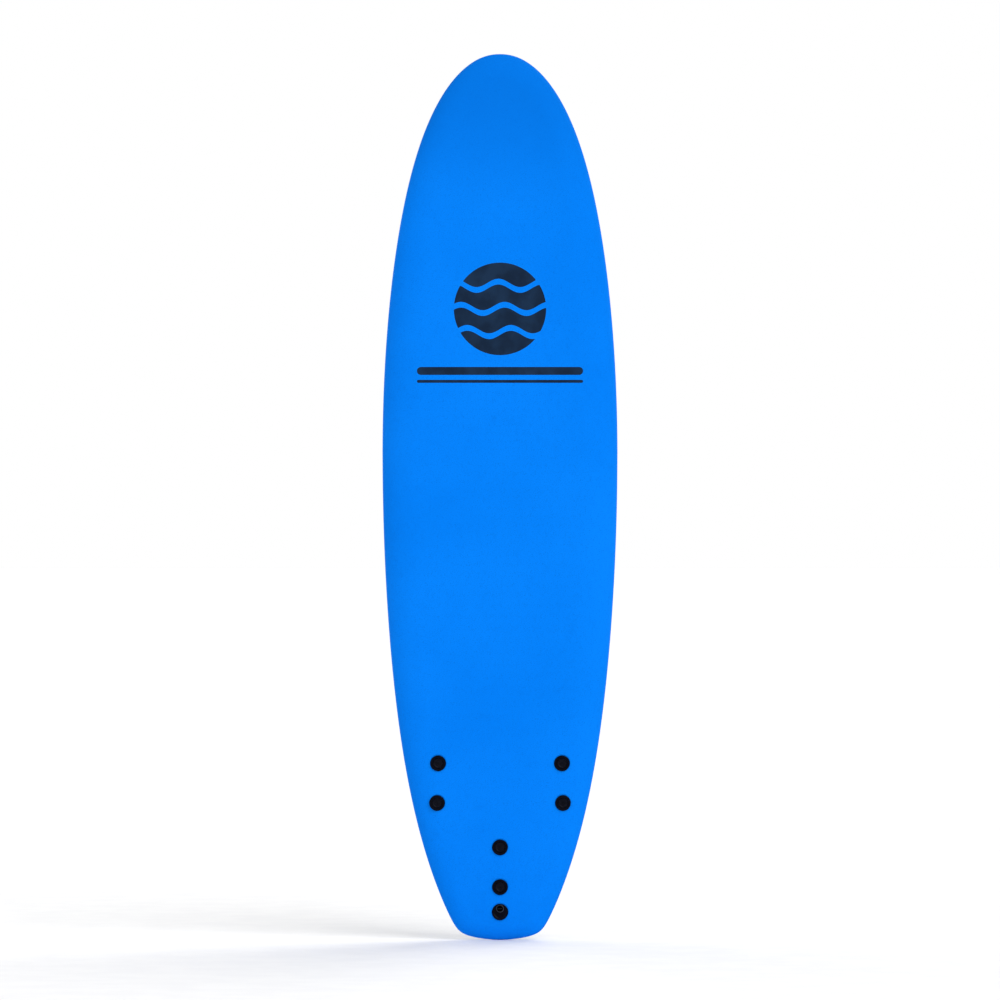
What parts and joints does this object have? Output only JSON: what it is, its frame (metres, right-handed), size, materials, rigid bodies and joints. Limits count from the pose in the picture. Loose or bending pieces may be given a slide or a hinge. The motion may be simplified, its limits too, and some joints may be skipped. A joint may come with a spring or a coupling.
{
  "type": "surfboard",
  "caption": "Soft-top foam surfboard with a wrapped foam deck, a slick hard bottom, bolt-on soft-edged fins held by screws through the deck, and a leash plug at the tail.",
  "frame": {"origin": "the tail's end, on the centreline and the rail's widest line", "axes": "+Z towards the nose, -Y out of the deck, +Y out of the bottom on the fins' side, +X to the right of someone who faces the deck with the nose up"},
  "size_m": [0.568, 0.3064, 2.134],
  "materials": {
    "deck_foam": "matte",
    "slick": "gloss",
    "core_foam": "matte",
    "plywood": "matte",
    "fin_plastic": "satin",
    "fin_edge": "satin",
    "plug_plastic": "satin",
    "screw_metal": "satin",
    "seal_rubber": "matte",
    "brass": "satin",
    "steel": "satin"
  },
  "bodies": {
    "board": {"deck_skin": "deck_foam", "bottom_skin": "slick", "left_core": "core_foam", "centre_core": "core_foam", "right_core": "core_foam", "left_stringer": "plywood", "right_stringer": "plywood", "left_front_bushing": "plug_plastic", "left_rear_bushing": "plug_plastic", "centre_front_bushing": "plug_plastic", "centre_rear_bushing": "plug_plastic", "right_front_bushing": "plug_plastic", "right_rear_bushing": "plug_plastic", "leash_cup": "plug_plastic", "leash_bar": "steel", "leash_backing_disc": "plug_plastic"},
    "left_fin": {"left_fin": "fin_plastic", "left_fin_soft_edge": "fin_edge", "left_front_insert": "brass", "left_rear_insert": "brass"},
    "centre_fin": {"centre_fin": "fin_plastic", "centre_fin_soft_edge": "fin_edge", "centre_front_insert": "brass", "centre_rear_insert": "brass"},
    "right_fin": {"right_fin": "fin_plastic", "right_fin_soft_edge": "fin_edge", "right_front_insert": "brass", "right_rear_insert": "brass"},
    "left_front_seal": {"left_front_seal": "seal_rubber"},
    "left_front_screw": {"left_front_screw": "screw_metal"},
    "left_rear_seal": {"left_rear_seal": "seal_rubber"},
    "left_rear_screw": {"left_rear_screw": "screw_metal"},
    "centre_front_seal": {"centre_front_seal": "seal_rubber"},
    "centre_front_screw": {"centre_front_screw": "screw_metal"},
    "centre_rear_seal": {"centre_rear_seal": "seal_rubber"},
    "centre_rear_screw": {"centre_rear_screw": "screw_metal"},
    "right_front_seal": {"right_front_seal": "seal_rubber"},
    "right_front_screw": {"right_front_screw": "screw_metal"},
    "right_rear_seal": {"right_rear_seal": "seal_rubber"},
    "right_rear_screw": {"right_rear_screw": "screw_metal"}
  },
  "joints": [
    {"name": "left_fin_pull", "type": "slide", "parent": "board", "child": "left_fin", "axis": [0, 0.9999, -0.0156], "range_m": [0, 0.05]},
    {"name": "centre_fin_pull", "type": "slide", "parent": "board", "child": "centre_fin", "axis": [0, 0.9987, -0.0514], "range_m": [0, 0.05]},
    {"name": "right_fin_pull", "type": "slide", "parent": "board", "child": "right_fin", "axis": [0, 0.9999, -0.0156], "range_m": [0, 0.05]},
    {"name": "left_front_screw_back_out", "type": "slide", "parent": "board", "child": "left_front_seal", "axis": [0, -0.9999, 0.0156], "range_m": [0, 0.0135]},
    {"name": "left_front_screw_turn", "type": "hinge", "parent": "left_front_seal", "child": "left_front_screw", "pos_m": [-0.14974, -0.02732, 0.42794], "axis": [0, -0.9999, 0.0156], "range_deg": [0, 4861]},
    {"name": "left_rear_screw_back_out", "type": "slide", "parent": "board", "child": "left_rear_seal", "axis": [0, -0.9999, 0.0156], "range_m": [0, 0.0135]},
    {"name": "left_rear_screw_turn", "type": "hinge", "parent": "left_rear_seal", "child": "left_rear_screw", "pos_m": [-0.15226, -0.02403, 0.33191], "axis": [0, -0.9999, 0.0156], "range_deg": [0, 4861]},
    {"name": "centre_front_screw_back_out", "type": "slide", "parent": "board", "child": "centre_front_seal", "axis": [0, -0.9987, 0.0514], "range_m": [0, 0.0135]},
    {"name": "centre_front_screw_turn", "type": "hinge", "parent": "centre_front_seal", "child": "centre_front_screw", "pos_m": [0, -0.02152, 0.22456], "axis": [0, -0.9987, 0.0514], "range_deg": [0, 4861]},
    {"name": "centre_rear_screw_back_out", "type": "slide", "parent": "board", "child": "centre_rear_seal", "axis": [0, -0.9987, 0.0514], "range_m": [0, 0.0135]},
    {"name": "centre_rear_screw_turn", "type": "hinge", "parent": "centre_rear_seal", "child": "centre_rear_screw", "pos_m": [0, -0.02045, 0.12838], "axis": [0, -0.9987, 0.0514], "range_deg": [0, 4861]},
    {"name": "right_front_screw_back_out", "type": "slide", "parent": "board", "child": "right_front_seal", "axis": [0, -0.9999, 0.0156], "range_m": [0, 0.0135]},
    {"name": "right_front_screw_turn", "type": "hinge", "parent": "right_front_seal", "child": "right_front_screw", "pos_m": [0.14974, -0.02732, 0.42794], "axis": [0, -0.9999, 0.0156], "range_deg": [0, 4861]},
    {"name": "right_rear_screw_back_out", "type": "slide", "parent": "board", "child": "right_rear_seal", "axis": [0, -0.9999, 0.0156], "range_m": [0, 0.0135]},
    {"name": "right_rear_screw_turn", "type": "hinge", "parent": "right_rear_seal", "child": "right_rear_screw", "pos_m": [0.15226, -0.02403, 0.33191], "axis": [0, -0.9999, 0.0156], "range_deg": [0, 4861]}
  ],
  "couplings": [
    {"joint": "left_front_screw_turn", "follows": "left_front_screw_back_out", "rad_per_m": 6283.2},
    {"joint": "left_rear_screw_turn", "follows": "left_rear_screw_back_out", "rad_per_m": 6283.2},
    {"joint": "centre_front_screw_turn", "follows": "centre_front_screw_back_out", "rad_per_m": 6283.2},
    {"joint": "centre_rear_screw_turn", "follows": "centre_rear_screw_back_out", "rad_per_m": 6283.2},
    {"joint": "right_front_screw_turn", "follows": "right_front_screw_back_out", "rad_per_m": 6283.2},
    {"joint": "right_rear_screw_turn", "follows": "right_rear_screw_back_out", "rad_per_m": 6283.2}
  ]
}
